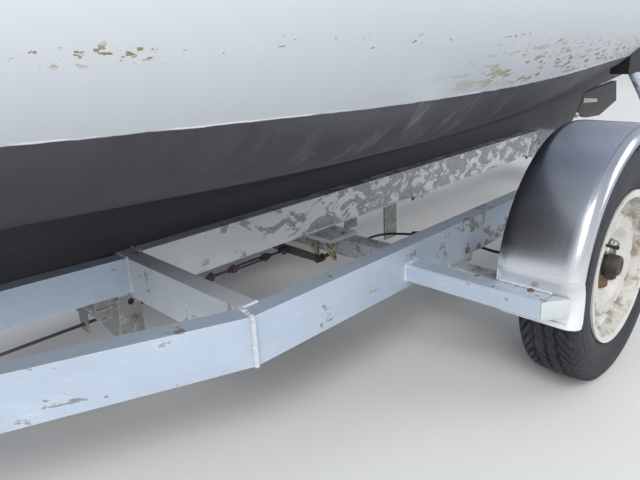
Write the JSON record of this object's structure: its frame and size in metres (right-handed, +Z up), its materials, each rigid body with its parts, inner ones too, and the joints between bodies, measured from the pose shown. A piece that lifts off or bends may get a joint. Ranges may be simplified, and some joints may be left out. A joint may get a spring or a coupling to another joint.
{
  "type": "small sailboat on a road trailer",
  "caption": "Small sailboat with a long keel, cabin, mast and boom, standing ready to tow on a braked single-axle road trailer with a keel frame.",
  "frame": {"origin": "centre of the bounding box on the ground", "axes": "+X towards the bow and the tow hitch, +Y to port, +Z up"},
  "size_m": [7.955, 2.116, 6.15],
  "materials": {
    "hull_paint": "grey-blue gloss paint over dark bottom paint",
    "ballast_iron": "bottom paint",
    "antifouled_wood": "matt bottom paint",
    "deck_paint": "matt non-slip paint",
    "cabin_paint": "semi-gloss paint",
    "varnished_wood": "varnish",
    "window_pane": "clear dark",
    "bronze": "dull",
    "stainless": "satin",
    "trailer_paint": "silver-grey paint flaking off zinc",
    "wheel_paint": "off-white paint with rust specks",
    "hub_iron": "dirty",
    "guard_sheet": "bright, scuffed",
    "tyre_rubber": "dusty",
    "solid_rubber": "matt",
    "board_panel": "red and white panel",
    "cable_sheath": "matt",
    "dark_steel": "black, worn"
  },
  "bodies": {
    "boat_and_trailer": {"axle_arm_port": "trailer_paint", "axle_arm_starboard": "trailer_paint", "axle_beam": "trailer_paint", "bow_eye": "stainless", "bow_stop": "solid_rubber", "brake_bracket": "trailer_paint", "brake_cables": "cable_sheath", "brake_linkage": "dark_steel", "coachroof": "cabin_paint", "coamings": "varnished_wood", "cross_members": "trailer_paint", "deck": "deck_paint", "drawbar": "trailer_paint", "forehatch_coaming": "varnished_wood", "forestay": "stainless", "front_rails": "trailer_paint", "guard_bars": "trailer_paint", "hatch_rails": "varnished_wood", "hitch_head": "trailer_paint", "hull": "hull_paint", "hull_pads": "solid_rubber", "hull_posts": "trailer_paint", "inner_rails": "trailer_paint", "jockey_leg": "trailer_paint", "keel": "ballast_iron", "keel_bearers": "trailer_paint", "keel_plank": "varnished_wood", "light_board": "board_panel", "mast": "varnished_wood", "mast_step": "varnished_wood", "mudguard_port": "guard_sheet", "mudguard_starboard": "guard_sheet", "outer_rails": "trailer_paint", "rear_cross_tube": "trailer_paint", "rubbing_strakes": "varnished_wood", "rudder_heel": "bronze", "shrouds": "stainless", "stay_fittings": "stainless", "toe_rails": "varnished_wood", "washboards": "varnished_wood", "winch": "trailer_paint", "winch_post": "trailer_paint", "windows": "window_pane"},
    "wheel_port": {"hub_port": "hub_iron", "rim_port": "wheel_paint", "tyre_port": "tyre_rubber"},
    "wheel_starboard": {"hub_starboard": "hub_iron", "rim_starboard": "wheel_paint", "tyre_starboard": "tyre_rubber"},
    "jockey_fork": {"jockey_fork": "trailer_paint"},
    "jockey_wheel": {"jockey_wheel": "solid_rubber"},
    "rudder": {"rudder": "antifouled_wood", "tiller": "varnished_wood"},
    "boom": {"boom": "varnished_wood", "gaff": "varnished_wood", "topping_lift": "stainless"},
    "sliding_hatch": {"sliding_hatch": "cabin_paint"},
    "forehatch_lid": {"forehatch_lid": "cabin_paint"},
    "locker_lid_port": {"locker_lid_port": "cabin_paint"},
    "locker_lid_starboard": {"locker_lid_starboard": "cabin_paint"}
  },
  "joints": [
    {"name": "wheel_port_spin", "type": "hinge", "parent": "boat_and_trailer", "child": "wheel_port", "pos_m": [-0.0125, 0.941, 0.285], "axis": [0, 1, 0], "continuous": true},
    {"name": "wheel_starboard_spin", "type": "hinge", "parent": "boat_and_trailer", "child": "wheel_starboard", "pos_m": [-0.0125, -0.941, 0.285], "axis": [0, 1, 0], "continuous": true},
    {"name": "jockey_swivel", "type": "hinge", "parent": "boat_and_trailer", "child": "jockey_fork", "pos_m": [3.6075, -0.098, 0.211], "axis": [0, 0, 1], "continuous": true},
    {"name": "jockey_wheel_spin", "type": "hinge", "parent": "jockey_fork", "child": "jockey_wheel", "pos_m": [3.5615, -0.098, 0.1], "axis": [0, 1, 0], "continuous": true},
    {"name": "rudder_turn", "type": "hinge", "parent": "boat_and_trailer", "child": "rudder", "pos_m": [-2.2125, 0, 0.352], "axis": [-0.5878, 0, 0.809], "range_deg": [-35, 35]},
    {"name": "boom_swing", "type": "hinge", "parent": "boat_and_trailer", "child": "boom", "pos_m": [1.6475, 0, 2], "axis": [0, 0, 1], "range_deg": [-65, 65]},
    {"name": "companion_hatch_slide", "type": "slide", "parent": "boat_and_trailer", "child": "sliding_hatch", "axis": [1, 0, 0], "range_m": [0, 0.54]},
    {"name": "forehatch_hinge", "type": "hinge", "parent": "boat_and_trailer", "child": "forehatch_lid", "pos_m": [2.1675, 0, 1.545], "axis": [0, -1, 0], "range_deg": [0, 100]},
    {"name": "locker_lid_port_hinge", "type": "hinge", "parent": "boat_and_trailer", "child": "locker_lid_port", "pos_m": [-1.7125, 0.399, 1.038], "axis": [-1, 0, 0], "range_deg": [0, 80]},
    {"name": "locker_lid_starboard_hinge", "type": "hinge", "parent": "boat_and_trailer", "child": "locker_lid_starboard", "pos_m": [-1.7125, -0.399, 1.038], "axis": [1, 0, 0], "range_deg": [0, 80]}
  ]
}
